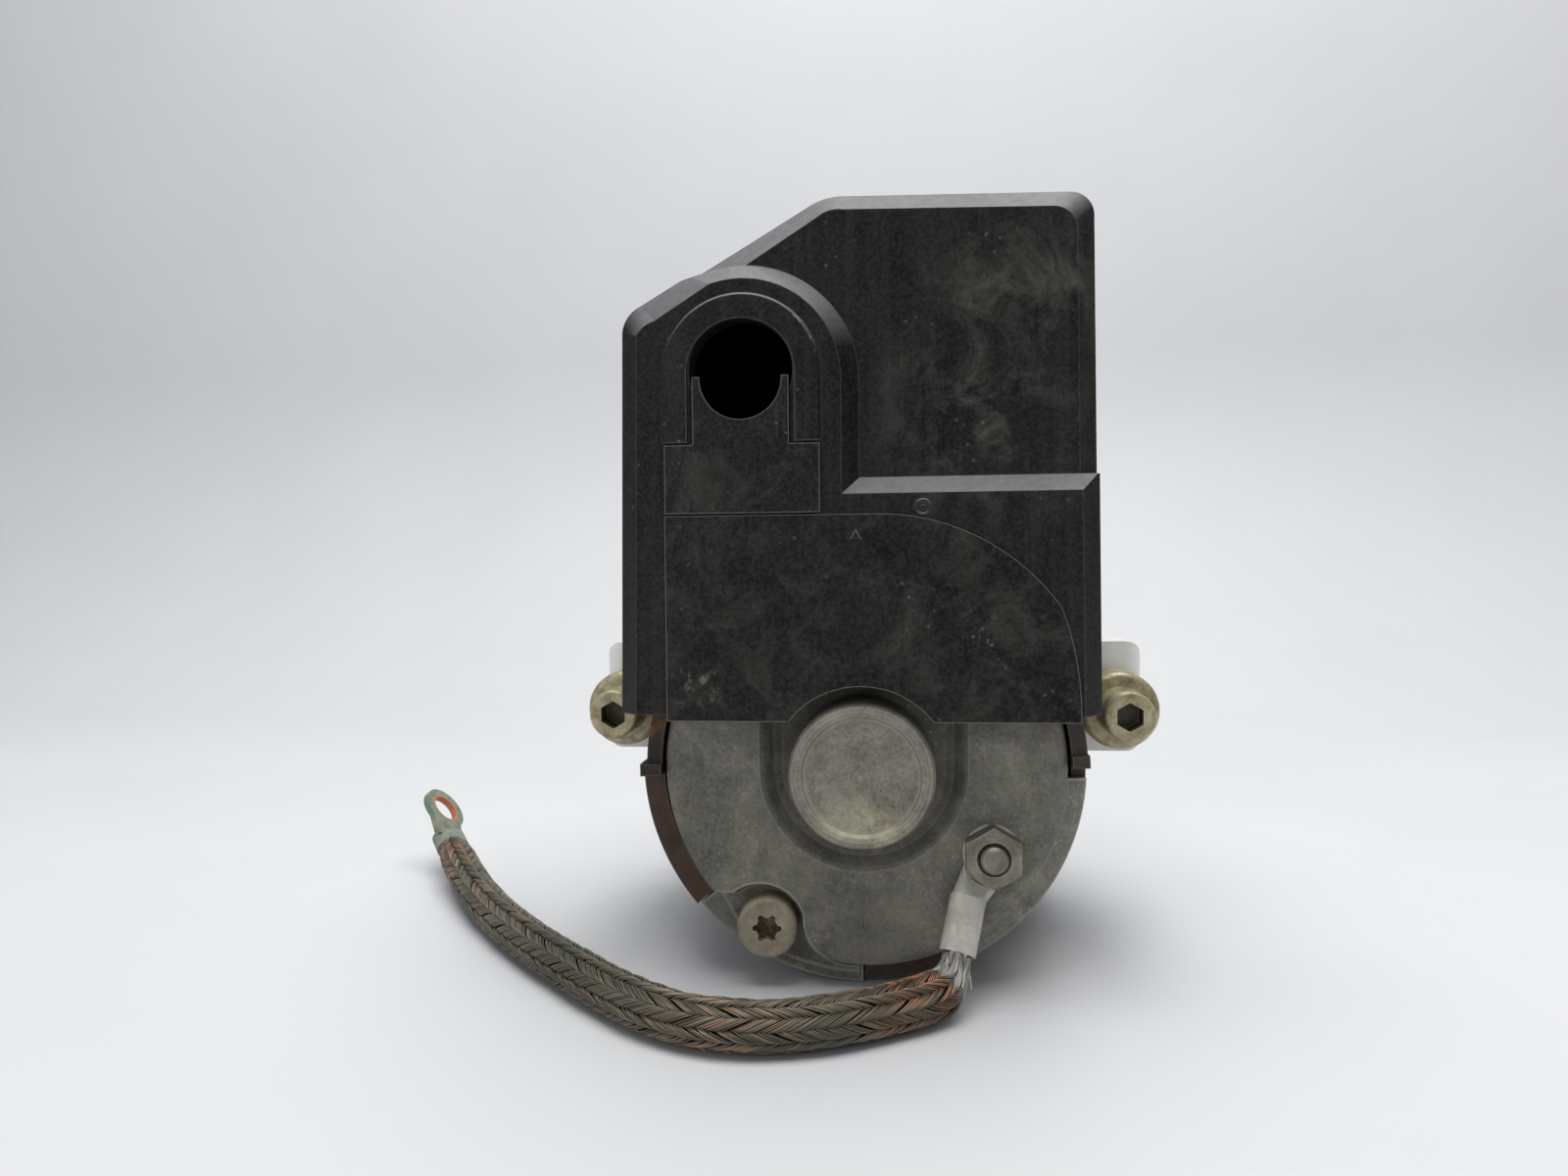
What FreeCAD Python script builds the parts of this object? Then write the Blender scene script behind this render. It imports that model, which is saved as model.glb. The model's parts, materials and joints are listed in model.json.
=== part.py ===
import FreeCAD, Part
import math
import os

# Anti-lock brake hydraulic unit with its ground strap. Millimetres.
# X is to the right and Y to the back, seen from the motor's end shield. Z is up from the surface it stands on.
# The origin is below the middle of the unit, and the motor's axis runs along Y.

V = FreeCAD.Vector

# Driving dimensions
FACE = -43.5            # front plane of the motor's end shield
AXIS_Z = 42.0           # height of the motor's axis
HOOD_FRONT = FACE - 9.0
RECESS_FRONT = FACE - 6.0
HOOD_BACK = FACE + 84.0
HOOD_WALL = 2.2
HOOD_BOTTOM = 53.0
EDGE = 3.4              # bevel of the hood's front edges
RIM = 1.0               # height of the rim around the cable gland
BLOCK_FRONT = FACE + 48.0
BLOCK_BACK = FACE + 87.0
BLOCK_HALF = 43.0
FOOT_HALF = 33.0        # half width of the face that the block stands on
BLOCK_SHOULDER = 51.5   # height where the block narrows to fit inside the hood
BLOCK_TOP = 62.0
FLANGE_TOP = 84.0       # top of the wall that the motor is bolted to
PORT_FACE = FACE + 97.0
PORT_R = 4.5            # core of the M10 x 1 thread
PORT_DEPTH = 9.5
TUBE_R = 41.2
TUBE_WALL = 2.6
TUBE_FRONT = FACE + 5.0
TUBE_BACK = BLOCK_FRONT - 1.6
PLATEAU_R = 37.6
CAP_R = 13.3
SHAFT_R = 4.0
BEARING_R = 9.5
ECCENTRICITY = 1.2
PUMP_Y = FACE + 61.0
PISTON_R = 4.0
STUD_X = 51.4
STUD_Z = 49.5
STUD_PIN_R = 5.0
STUD_COLLAR_R = 7.9
SLOTS = 12              # slots of the armature and bars of its commutator
SCREW_X = -18.2
SCREW_Z = 11.8
GROUND_X = 23.5
GROUND_Z = 26.8
ARCH_X = -20.8          # centre of the cable gland and the arch around it
ARCH_Z = 113.0
GLAND_R = 9.3           # cable hole
VALVE_XS = (-27.0, -0.5, 26.0)
VALVE_Y = FACE + 69.0
COIL_R = 12.4
ACCUMULATOR_X = 22.0
ACCUMULATOR_Y = FACE + 66.2
STRAP_R = 4.0
EYE_R = 3.7             # hole in the strap's far eye
FIT = 0.05              # running clearance on a radius
GAP = 0.3               # clearance between separate pieces

STRAP_ROUTE = [         # centre line, x, y from the end shield's front, z
    (16.8, -6.6, 10.2),
    (16.1, -8.0, 7.5),
    (14.6, -10.0, 5.5),
    (11.8, -12.5, 4.4),
    (6.8, -15.9, 4.2),
    (-0.8, -20.9, 4.3),
    (-9.2, -24.6, 4.2),
    (-18.4, -26.3, 4.3),
    (-27.4, -24.9, 4.2),
    (-36.0, -20.6, 4.3),
    (-44.9, -13.2, 4.2),
    (-55.0, -3.6, 4.3),
    (-67.4, 9.2, 4.2),
    (-81.4, 25.8, 4.4),
    (-94.4, 43.6, 5.2),
    (-107.2, 64.4, 7.6),
]


def box(x0, x1, y0, y1, z0, z1):
    return Part.makeBox(x1 - x0, y1 - y0, z1 - z0, V(x0, y0, z0))


def cyl_x(y, z, r, x0, x1):
    return Part.makeCylinder(r, x1 - x0, V(x0, y, z), V(1, 0, 0))


def cyl_y(x, z, r, y0, y1):
    return Part.makeCylinder(r, y1 - y0, V(x, y0, z), V(0, 1, 0))


def cyl_z(x, y, r, z0, z1):
    return Part.makeCylinder(r, z1 - z0, V(x, y, z0), V(0, 0, 1))


def tube_y(x, z, outer, inner, y0, y1):
    return cyl_y(x, z, outer, y0, y1).cut(cyl_y(x, z, inner, y0 - 1, y1 + 1))


def tube_z(x, y, outer, inner, z0, z1):
    return cyl_z(x, y, outer, z0, z1).cut(cyl_z(x, y, inner, z0 - 1, z1 + 1))


def wire_y(steps, y):
    """Closed outline in the plane at y. A step of two numbers is a line's end; one of four is an
    arc's middle point and end."""
    edges = []
    last = V(steps[0][0], y, steps[0][1])
    for step in steps[1:] + [steps[0]]:
        end = V(step[-2], y, step[-1])
        if len(step) == 4:
            edges.append(Part.Arc(last, V(step[0], y, step[1]), end).toShape())
        elif (end - last).Length > 1e-6:
            edges.append(Part.makeLine(last, end))
        last = end
    return Part.Wire(edges)


def prism_y(steps, y0, y1):
    return Part.Face(wire_y(steps, y0)).extrude(V(0, y1 - y0, 0))


def turned_y(profile, x, z):
    """Solid turned about the axis along Y through x, z, from (radius, y) points."""
    points = [V(x + r, y, z) for r, y in profile]
    face = Part.Face(Part.makePolygon(points + points[:1]))
    return face.revolve(V(x, 0, z), V(0, 1, 0), 360)


def on_arc(x, z, r, degrees):
    return (x + r * math.cos(math.radians(degrees)), z + r * math.sin(math.radians(degrees)))


def sector(x, z, inner, outer, start, end, y0, y1):
    """Part of a ring between two angles, counted from +X towards +Z."""
    middle = (start + end) / 2
    steps = [
        on_arc(x, z, inner, start),
        on_arc(x, z, outer, start),
        on_arc(x, z, outer, middle) + on_arc(x, z, outer, end),
        on_arc(x, z, inner, end),
        on_arc(x, z, inner, middle) + on_arc(x, z, inner, start),
    ]
    return prism_y(steps, y0, y1)


def hexagon_y(x, z, across_flats, y0, y1):
    r = across_flats / math.sqrt(3)
    return prism_y([on_arc(x, z, r, 30 + 60 * i) for i in range(6)], y0, y1)


def save(shape, node):
    solid = shape.removeSplitter()
    if len(solid.Solids) != 1 or not solid.isValid():
        print("CHECK", node, len(solid.Solids), "solids, valid", solid.isValid())
    solid.exportStep("parts/%s.step" % node)


# Hood and what is fixed to it

def hood_outline(inset, bottom):
    """Outline of the hood with one sloping top corner, moved inwards by inset."""
    return [
        (-44.0 + inset, bottom),
        (-43.0 + inset, 122.6 - 0.4 * inset),
        (-42.0 + inset, 125.2 - 0.8 * inset, -39.6 + inset, 127.2 - inset),
        (-8.2 + 0.3 * inset, 145.2 - inset),
        (-5.4, 146.2 - inset, -2.4, 146.4 - inset),
        (37.6 - inset, 145.4 - inset),
        (40.6 - inset, 144.0 - inset, 41.7 - inset, 140.8 - inset),
        (42.3 - inset, bottom),
    ]


def recess_steps(offset):
    """Upper right region that is set back. The offset widens it towards the front."""
    r = 20.8 - offset
    arc_end = on_arc(ARCH_X, ARCH_Z, r, 105)
    slope = math.radians(15)
    return [
        (60.0, 95.4 - offset),
        (ARCH_X + r, 95.4 - offset),
        (ARCH_X + r, ARCH_Z),
        on_arc(ARCH_X, ARCH_Z, r, 52) + arc_end,
        (arc_end[0] - 25.0 * math.cos(slope), arc_end[1] - 25.0 * math.sin(slope)),
        (-60.0, 170.0),
        (60.0, 170.0),
    ]


def bevelled_front(front):
    """Solid hood outline from a front plane to the back, its front edge bevelled."""
    bevel = Part.makeLoft([wire_y(hood_outline(EDGE, HOOD_BOTTOM), front),
                           wire_y(hood_outline(0, HOOD_BOTTOM), front + EDGE)], True, True)
    return bevel.fuse(prism_y(hood_outline(0, HOOD_BOTTOM), front + EDGE, HOOD_BACK))


def hood_shell():
    """Outer form: the full face, and a face set back at the upper right with a bevelled step to it."""
    depth = RECESS_FRONT - HOOD_FRONT
    step = Part.makeLoft([wire_y(recess_steps(0), RECESS_FRONT),
                          wire_y(recess_steps(depth + 0.5), HOOD_FRONT - 0.5)], True, True)
    behind = prism_y(recess_steps(0), RECESS_FRONT, RECESS_FRONT + EDGE + 1.6)
    return bevelled_front(HOOD_FRONT).cut(step.fuse(behind)).fuse(bevelled_front(RECESS_FRONT))


def hood():
    outer = hood_shell()
    inner_front = RECESS_FRONT + HOOD_WALL
    cavity = prism_y(hood_outline(HOOD_WALL, HOOD_BOTTOM - 1), inner_front, HOOD_BACK - HOOD_WALL)
    shell = outer.cut(cavity)
    shell = shell.cut(box(-31, 33, HOOD_FRONT + 3.0, inner_front + 1, HOOD_BOTTOM - 1, 86))
    shell = shell.cut(cyl_y(0, AXIS_Z, CAP_R + 3.2, HOOD_FRONT - 1, inner_front + 1))
    shell = shell.cut(cyl_y(ARCH_X, 114.6, GLAND_R, HOOD_FRONT - 1, inner_front + 1))
    gate = box(-30.1, -11.5, HOOD_FRONT + 1.6, inner_front + 1, 98.0, 114.6)
    shell = shell.cut(gate)
    return shell.fuse(gland_ring())


def front_panel():
    """Thin raised pad on the lower front, with an arched notch over the bearing cap."""
    r = CAP_R + 3.0
    left = math.degrees(math.asin((52.0 - AXIS_Z) / r))
    start = on_arc(0, AXIS_Z, r, left)
    end = on_arc(0, AXIS_Z, r, 180 - left)
    steps = [
        (-34.8, 52.0),
        (-34.8, 88.8),
        (2.0, 88.8),
        (23.5, 83.0, 35.0, 72.0),
        (37.4, 63.0, 38.2, 52.0),
        start,
        on_arc(0, AXIS_Z, r, 90) + end,
    ]
    return prism_y(steps, HOOD_FRONT - 0.45, HOOD_FRONT - 0.02)


def gland_ring():
    """Horseshoe rim around the cable hole."""
    def arch(r, bottom):
        return [(ARCH_X - r, bottom), (ARCH_X - r, ARCH_Z + 1), (ARCH_X, ARCH_Z + 1 + r, ARCH_X + r, ARCH_Z + 1),
                (ARCH_X + r, bottom)]
    ring = prism_y(arch(14.2, 101.8), HOOD_FRONT - RIM, HOOD_FRONT + 0.3)
    edges = [e for e in ring.Edges if all(abs(v.Point.y - HOOD_FRONT + RIM) < 0.01 for v in e.Vertexes)
             and not all(abs(v.Point.z - 101.8) < 0.01 for v in e.Vertexes)]
    ring = ring.makeFillet(0.7, edges)
    return ring.cut(prism_y(arch(GLAND_R + 0.3, 100.0), HOOD_FRONT - 3, HOOD_FRONT + 1))


def cable_gate():
    """Tongue that closes the hole from below, with a round notch for the cable."""
    steps = [
        (-34.6, 89.2), (-34.6, 101.4), (ARCH_X - 8.6, 101.4), (ARCH_X - 8.6, 113.4), (ARCH_X - 7.3, 113.4),
        (ARCH_X, 105.8, ARCH_X + 7.3, 113.4), (ARCH_X + 8.6, 113.4), (ARCH_X + 8.6, 101.4), (-6.8, 101.4),
        (-6.8, 89.2),
    ]
    return prism_y(steps, HOOD_FRONT - 0.9, HOOD_FRONT - 0.02)


# Motor

def notch_steps():
    """Region at the lower left where the shield drops to the screw's level."""
    return [
        (-60.0, 18.2), (-24.6, 18.2),
        (SCREW_X + 1.4, 19.6, -11.4, 14.0),
        (-10.4, 9.2, -7.2, 6.3),
        (-4.0, 4.9, 0.0, 4.3),
        (0.0, -10.0), (-60.0, -10.0),
    ]


def end_shield():
    y = FACE
    plateau = cyl_y(0, AXIS_Z, PLATEAU_R, y, y + 9)
    plateau = plateau.makeFillet(2.6, [e for e in plateau.Edges if abs(e.BoundBox.YMax - y) < 0.01])
    skirt = turned_y([(PLATEAU_R - 2, y + 1.6), (TUBE_R, y + 3.8), (TUBE_R, y + 4.8), (PLATEAU_R - 2, y + 4.8)],
                     0, AXIS_Z)
    skirt = skirt.common(sector(0, AXIS_Z, 10, 60, -67, -3, y - 1, y + 9))
    body = plateau.fuse(skirt).cut(shield_cavity(y))
    body = body.cut(prism_y(notch_steps(), y - 1, y + 5.2))
    ear = sector(0, AXIS_Z, 24, 42.0, 221, 269.4, y + 5.2, y + 8.8)
    tube = sector(0, AXIS_Z, TUBE_R - TUBE_WALL - GAP, 60, 210, 272, y + 5.2 + 1.8, y + 20)
    body = body.fuse(ear.cut(tube))
    body = body.fuse(ear_pad(y))
    body = body.cut(cap_recess(y))
    body = body.cut(turned_y([(0, y - 1), (CAP_R + 0.6, y - 1), (CAP_R + 0.6, y + 2.8), (9.6, y + 2.8),
                              (9.6, y + 12), (0, y + 12)], 0, AXIS_Z))
    for x, z in ((SCREW_X, SCREW_Z), (-SCREW_X, 2 * AXIS_Z - SCREW_Z)):
        body = body.cut(cyl_y(x, z, 3.3, y - 2, y + 12))
    body = body.cut(cyl_y(-SCREW_X, 2 * AXIS_Z - SCREW_Z, 6.6, y - 1, y + 5.2))
    return body.cut(cyl_y(GROUND_X, GROUND_Z, 2.5, y - 2, y + 6))


def cap_recess(y):
    """Dished U around the bearing cap, open towards the hood."""
    side = [(19.6, y - 1), (19.4, y - 0.02), (18.6, y + 0.5), (16.9, y + 2.2), (15.4, y + 2.8)]
    dish = turned_y([(0, y - 1)] + side + [(0, y + 2.8)], 0, AXIS_Z)
    outline = [V(r, d, AXIS_Z) for r, d in side] + [V(-r, d, AXIS_Z) for r, d in reversed(side)]
    channel = Part.Face(Part.makePolygon(outline + outline[:1])).extrude(V(0, 0, 16))
    return dish.fuse(channel)


def shield_cavity(y):
    """Hollow behind the shield's face, clear of both motor screws' seats."""
    cavity = cyl_y(0, AXIS_Z, 34.5, y + 4.0, y + 10)
    cavity = cavity.cut(cyl_y(-22.0, 4.0, 20.0, y, y + 12))
    return cavity.cut(cyl_y(-SCREW_X, 2 * AXIS_Z - SCREW_Z, 9.0, y, y + 12))


def ear_pad(y):
    """Flat raised pad around the screw, a little inside the ear's rim."""
    steps = [
        (-27.6, 17.0), (-24.0, 17.0), (SCREW_X + 1.0, 18.4, -12.6, 13.4),
        (-11.6, 8.8, -8.0, 5.0), (-5.0, 3.6, -1.2, 3.4), (-1.2, 2.1),
        on_arc(0, AXIS_Z, 40.0, 252) + on_arc(0, AXIS_Z, 40.0, 234),
    ]
    return prism_y(steps, y + 4.6, y + 5.3)


def pole_housing():
    """Steel tube of the motor, with the thicker lap of its rolled seam at the left."""
    tube = tube_y(0, AXIS_Z, TUBE_R, TUBE_R - TUBE_WALL, TUBE_FRONT, TUBE_BACK)
    seam = sector(0, AXIS_Z, TUBE_R - 0.5, TUBE_R + 1.4, 180, 220.5, TUBE_FRONT, TUBE_BACK)
    tube = tube.fuse(seam)
    slot = sector(0, AXIS_Z, 30, 50, 220.5, 270, FACE, FACE + 8.8 + GAP)
    return tube.cut(slot)


def motor_gasket():
    return tube_y(0, AXIS_Z, TUBE_R, TUBE_R - TUBE_WALL, TUBE_BACK, BLOCK_FRONT)


def clamp_arch():
    """Half ring that hugs the housing's front rim, with a small nub at each end and a bulge over the screw."""
    y0, y1 = FACE + 0.8, FACE + 4.8
    inner, outer = PLATEAU_R + 0.5, TUBE_R - 0.2
    ring = sector(0, AXIS_Z, inner, outer, 1, 182, y0, y1)
    for start, reach in ((0.6, TUBE_R), (179.4, TUBE_R + 0.9)):
        ring = ring.fuse(sector(0, AXIS_Z, inner, reach, start, start + 3.2, FACE - 0.4, y1))
    ring = ring.fuse(sector(0, AXIS_Z, outer - 1, TUBE_R + 2.2, 43, 75, y0, y1))
    return ring.cut(cyl_y(-SCREW_X, 2 * AXIS_Z - SCREW_Z, 6.3, FACE, FACE + 9))


def bearing_cap():
    y = FACE
    profile = [(0, y - 7.9), (10.4, y - 8.1), (10.9, y - 8.8), (11.7, y - 9.0), (12.6, y - 8.7), (13.1, y - 7.9),
               (CAP_R, y - 6.6), (CAP_R, y + 2.7), (BEARING_R + FIT, y + 2.7), (BEARING_R + FIT, y - 6.2), (0, y - 6.2)]
    return turned_y(profile, 0, AXIS_Z)


def bearing(y, width):
    outer = BEARING_R
    profile = [(SHAFT_R + FIT, y), (6.6, y), (6.8, y + 0.5), (outer - 1.8, y + 0.5), (outer - 1.6, y), (outer, y),
               (outer, y + width), (SHAFT_R + FIT, y + width)]
    return turned_y(profile, 0, AXIS_Z)


def motor_shaft():
    shaft = cyl_y(0, AXIS_Z, SHAFT_R, FACE - 5.4, FACE + 75)
    eccentric = cyl_y(ECCENTRICITY, AXIS_Z, 5.6, PUMP_Y - 4.5, PUMP_Y + 4.5)
    return shaft.fuse(eccentric)


def eccentric_ring():
    return tube_y(ECCENTRICITY, AXIS_Z, 8.5, 5.6, PUMP_Y - 4, PUMP_Y + 4)


def armature_core():
    core = tube_y(0, AXIS_Z, 26.0, SHAFT_R, FACE + 18, FACE + 38)
    for i in range(SLOTS):
        slot = box(-1.6, 1.6, FACE + 17, FACE + 39, 13.5, 27.0)
        slot.rotate(V(0, 0, 0), V(0, 1, 0), 360.0 * i / SLOTS)
        slot.translate(V(0, 0, AXIS_Z))
        core = core.cut(slot)
    return core


def armature_winding():
    """Winding: a bundle of wire ends on each side of the core, and a bundle through each slot."""
    front = tube_y(0, AXIS_Z, 24.0, 11.4, FACE + 14.4, FACE + 17.9)
    front = front.makeFillet(1.2, [e for e in front.Edges if abs(e.BoundBox.YMax - FACE - 14.4) < 0.01])
    rear = tube_y(0, AXIS_Z, 24.0, 11.4, FACE + 38.1, FACE + 42.0)
    rear = rear.makeFillet(1.2, [e for e in rear.Edges if abs(e.BoundBox.YMin - FACE - 42.0) < 0.01])
    winding = front.fuse(rear)
    for i in range(SLOTS):
        bundle = box(-1.5, 1.5, FACE + 17.5, FACE + 38.5, 13.6, 23.5)
        bundle.rotate(V(0, 0, 0), V(0, 1, 0), 360.0 * i / SLOTS)
        bundle.translate(V(0, 0, AXIS_Z))
        winding = winding.fuse(bundle)
    return winding


def commutator():
    ring = tube_y(0, AXIS_Z, 10.0, SHAFT_R, FACE + 4.6, FACE + 14.2)
    for i in range(SLOTS):
        cut = box(-0.3, 0.3, FACE + 3, FACE + 15, 9.0, 10.5)
        cut.rotate(V(0, 0, 0), V(0, 1, 0), 360.0 * i / SLOTS)
        cut.translate(V(0, 0, AXIS_Z))
        ring = ring.cut(cut)
    return ring


def magnet(side):
    middle = 0 if side > 0 else 180
    return sector(0, AXIS_Z, 30.0, TUBE_R - TUBE_WALL - 0.05, middle - 48, middle + 48, FACE + 14, FACE + 42)


def brush_holder():
    """Moulded ring behind the shield with a square guide for each brush."""
    plate = tube_y(0, AXIS_Z, 36.0, 14.0, FACE + 11.4, FACE + 13.4)
    for side in (-1, 1):
        x0, x1 = sorted((side * 14.5, side * 28.5))
        plate = plate.fuse(box(x0, x1, FACE + 4.6, FACE + 11.6, AXIS_Z - 5.2, AXIS_Z + 5.2).cut(
            box(x0 - 1, x1 + 1, FACE + 5.8, FACE + 10.4, AXIS_Z - 4.0, AXIS_Z + 4.0)))
    for x, z in ((SCREW_X, SCREW_Z), (-SCREW_X, 2 * AXIS_Z - SCREW_Z)):
        plate = plate.cut(cyl_y(x, z, 4.0, FACE, FACE + 20))
    return plate.cut(cyl_y(0, AXIS_Z, 13.0, FACE, FACE + 20))


def brush(side):
    x0, x1 = sorted((side * 10.3, side * 20.0))
    return box(x0, x1, FACE + 6.0, FACE + 10.2, AXIS_Z - 3.8, AXIS_Z + 3.8)


def helix_spring(radius, wire, pitch, height):
    """Coil spring of square wire along +Z from the origin; wire is half the wire's width."""
    path = Part.makeHelix(pitch, height - 2 * wire, radius)
    path.translate(V(0, 0, wire))
    corners = [V(radius + a * wire, 0, wire + b * wire) for a, b in ((-1, -1), (1, -1), (1, 1), (-1, 1), (-1, -1))]
    return Part.Wire(path.Edges).makePipeShell([Part.makePolygon(corners)], True, True)


def motor_screw(x, z):
    """Long screw through the motor into the block, with a round head and a star socket."""
    head = cyl_y(x, z, 5.7, FACE - 0.9, FACE + 4.5)
    if x > 0:
        head = cyl_y(x, z, 5.7, FACE - 0.2, FACE + 4.9)
    head = head.makeFillet(0.9, [e for e in head.Edges if abs(e.BoundBox.YMax - head.BoundBox.YMin) < 0.01])
    socket = cyl_y(x, z, 2.1, FACE - 2, head.BoundBox.YMin + 3.2)
    for i in range(6):
        cx, cz = on_arc(x, z, 2.15, 60 * i)
        socket = socket.fuse(cyl_y(cx, cz, 0.65, FACE - 2, head.BoundBox.YMin + 3.2))
    return head.cut(socket).fuse(cyl_y(x, z, 2.9, FACE + 4.4, BLOCK_FRONT + 7.5))


# Ground stud, nut and strap

def ground_stud():
    stud = cyl_y(GROUND_X, GROUND_Z, 2.45, FACE - 6.6, FACE + 5.9)
    return stud.makeChamfer(0.4, [e for e in stud.Edges if e.BoundBox.YMax < FACE - 6.5])


def ground_nut():
    nut = hexagon_y(GROUND_X, GROUND_Z, 9.8, FACE - 5.4, FACE - 1.3)
    crown = turned_y([(0, FACE - 5.4), (4.7, FACE - 5.4), (6.4, FACE - 4.5), (6.4, FACE), (0, FACE)],
                     GROUND_X, GROUND_Z)
    thread = turned_y([(0, FACE - 9), (3.1, FACE - 9), (3.1, FACE - 5.2), (2.5, FACE - 4.6), (2.5, FACE + 1),
                       (0, FACE + 1)], GROUND_X, GROUND_Z)
    return nut.common(crown).cut(thread)


def strap_points():
    return [V(x, FACE + y, z) for x, y, z in STRAP_ROUTE]


def strap_direction(first):
    points = strap_points()
    a, b = (points[1], points[0]) if first else (points[-2], points[-1])
    return (b - a).normalize()


def crimp_wire(centre, direction, across, width, thickness):
    """Flat oval across a direction. Across is where its width goes."""
    across = (across - direction * across.dot(direction)).normalize()
    third = direction.cross(across)
    half = width / 2 - thickness / 2
    corners = [(-half, -thickness / 2), (half, -thickness / 2), (half, thickness / 2), (-half, thickness / 2)]
    p = [centre + across * a + third * b for a, b in corners]
    return Part.Wire([
        Part.makeLine(p[0], p[1]),
        Part.Arc(p[1], centre + across * (width / 2), p[2]).toShape(),
        Part.makeLine(p[2], p[3]),
        Part.Arc(p[3], centre - across * (width / 2), p[0]).toShape(),
    ])


def crimp(end, direction, across, length, width, thickness):
    """Flattened barrel that starts at a point and runs along a direction."""
    return Part.Face(crimp_wire(end, direction, across, width, thickness)).extrude(direction * length)


def near_lug():
    """Eye under the ground nut, bent forwards into the barrel that holds the strap."""
    eye = cyl_y(GROUND_X, GROUND_Z, 5.3, FACE - 1.25, FACE - 0.05)
    back = strap_direction(True)
    across = V(1, 0, -0.3)
    barrel = crimp(strap_points()[0], back, across, 10.0, 6.6, 4.5)
    top = strap_points()[0] + back * 9.6
    lower = crimp_wire(top, back, across, 6.3, 4.2)
    upper = crimp_wire(V(22.0, FACE - 0.65, 23.4), V(0.45, 0, 1).normalize(), across, 7.6, 1.1)
    neck = Part.makeLoft([lower, upper], True, True)
    lug = eye.fuse(neck).fuse(barrel)
    lug = lug.cut(box(0, 60, FACE - 0.05, FACE + 9, 0, 60))
    lug = lug.cut(cyl_y(GROUND_X, GROUND_Z, 5.8, FACE - 9, FACE - 1.25))
    return lug.cut(cyl_y(GROUND_X, GROUND_Z, 2.75, FACE - 9, FACE + 1))


def far_lug():
    """Crimp barrel at the strap's far end, with a flat eye bent upwards and twisted to one side."""
    end = strap_points()[-1]
    direction = strap_direction(False)
    level = V(direction.x, direction.y, 0).normalize()
    side = V(-level.y, level.x, 0)
    barrel = crimp(end, direction, side, 9.0, 8.0, 4.4)
    rise = math.radians(34)
    plate = (level * math.cos(rise) + V(0, 0, math.sin(rise))).normalize()
    normal = side.cross(plate).normalize()
    twist = math.radians(40)
    side, normal = side * math.cos(twist) - normal * math.sin(twist), normal * math.cos(twist) + side * math.sin(twist)
    start = end + direction * 7.6
    centre = start + plate * 10.6
    eye = Part.makeCylinder(6.2, 1.7, centre - normal * 0.85, normal)
    a = start - normal * 0.85
    neck = Part.Face(Part.makePolygon([a - side * 3.9, a + side * 3.9, centre + side * 5.2 - normal * 0.85,
                                       centre - side * 5.2 - normal * 0.85, a - side * 3.9]))
    lug = barrel.fuse(neck.extrude(normal * 1.7)).fuse(eye)
    return lug.cut(Part.makeCylinder(EYE_R, 12, centre - normal * 6, normal)), centre, normal


def ground_strap():
    """Braid as a round tube of straight runs joined by tangent arcs."""
    points = strap_points()
    edges = []
    last = points[0]
    radii = []
    for before, corner, after in zip(points, points[1:], points[2:]):
        into = (corner - before).normalize()
        out = (after - corner).normalize()
        turn = into.getAngle(out)
        tangent = 0.45 * min((corner - before).Length, (after - corner).Length)
        radius = tangent / math.tan(turn / 2)
        radii.append(round(radius, 1))
        start = corner - into * tangent
        end = corner + out * tangent
        middle_way = (out - into).normalize()
        middle = corner + middle_way * (radius / math.cos(turn / 2) - radius)
        edges.append(Part.makeLine(last, start))
        edges.append(Part.Arc(start, middle, end).toShape())
        last = end
    edges.append(Part.makeLine(last, points[-1]))
    path = Part.Wire(edges)
    section = Part.Wire([Part.makeCircle(STRAP_R, points[0], points[1] - points[0])])
    tube = path.makePipeShell([section], True, True)
    print("strap radii", radii)
    print("strap length", round(path.Length, 1), "volume", round(tube.Volume, 1),
          "section x length", round(math.pi * STRAP_R ** 2 * path.Length, 1), "lowest", round(tube.BoundBox.ZMin, 2))
    return tube


# Valve block, pump and accumulators

def valve_block():
    half = BLOCK_HALF
    block = prism_y([(-FOOT_HALF, 0), (-half, 12), (-half, BLOCK_SHOULDER), (half, BLOCK_SHOULDER), (half, 12),
                     (FOOT_HALF, 0)], BLOCK_FRONT, BLOCK_BACK)
    upright = [e for e in block.Edges if e.BoundBox.ZMin > 11 and e.BoundBox.ZLength > 20]
    block = block.makeChamfer(1.2, upright)
    block = block.fuse(box(-38.5, 36.5, BLOCK_FRONT, HOOD_BACK - 5, BLOCK_SHOULDER - 1, BLOCK_TOP))
    block = block.fuse(box(-38.5, 36.5, BLOCK_FRONT, BLOCK_FRONT + 8, BLOCK_SHOULDER, FLANGE_TOP))
    block = block.cut(cyl_y(0, AXIS_Z, BEARING_R + FIT, BLOCK_FRONT - 1, PUMP_Y))
    block = block.cut(cyl_y(0, AXIS_Z, 12.5, PUMP_Y - 6, PUMP_Y + 6))
    block = block.cut(cyl_y(0, AXIS_Z, SHAFT_R + 0.6, PUMP_Y, FACE + 77))
    block = block.cut(cyl_x(PUMP_Y, AXIS_Z, PISTON_R + 0.1, -34, 34))
    block = block.cut(cyl_x(PUMP_Y, AXIS_Z, 7.0, -50, -33)).cut(cyl_x(PUMP_Y, AXIS_Z, 7.0, 33, 50))
    for x in (-ACCUMULATOR_X, ACCUMULATOR_X):
        block = block.cut(cyl_z(x, ACCUMULATOR_Y, 9.1, -1, 27))
    for x, z in ((SCREW_X, SCREW_Z), (-SCREW_X, 2 * AXIS_Z - SCREW_Z)):
        block = block.cut(cyl_y(x, z, 2.9, BLOCK_FRONT - 1, BLOCK_FRONT + 7.5))
    for x in VALVE_XS:
        block = block.cut(cyl_z(x, VALVE_Y, 7.0, 56.0, 70))
    return block


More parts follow.
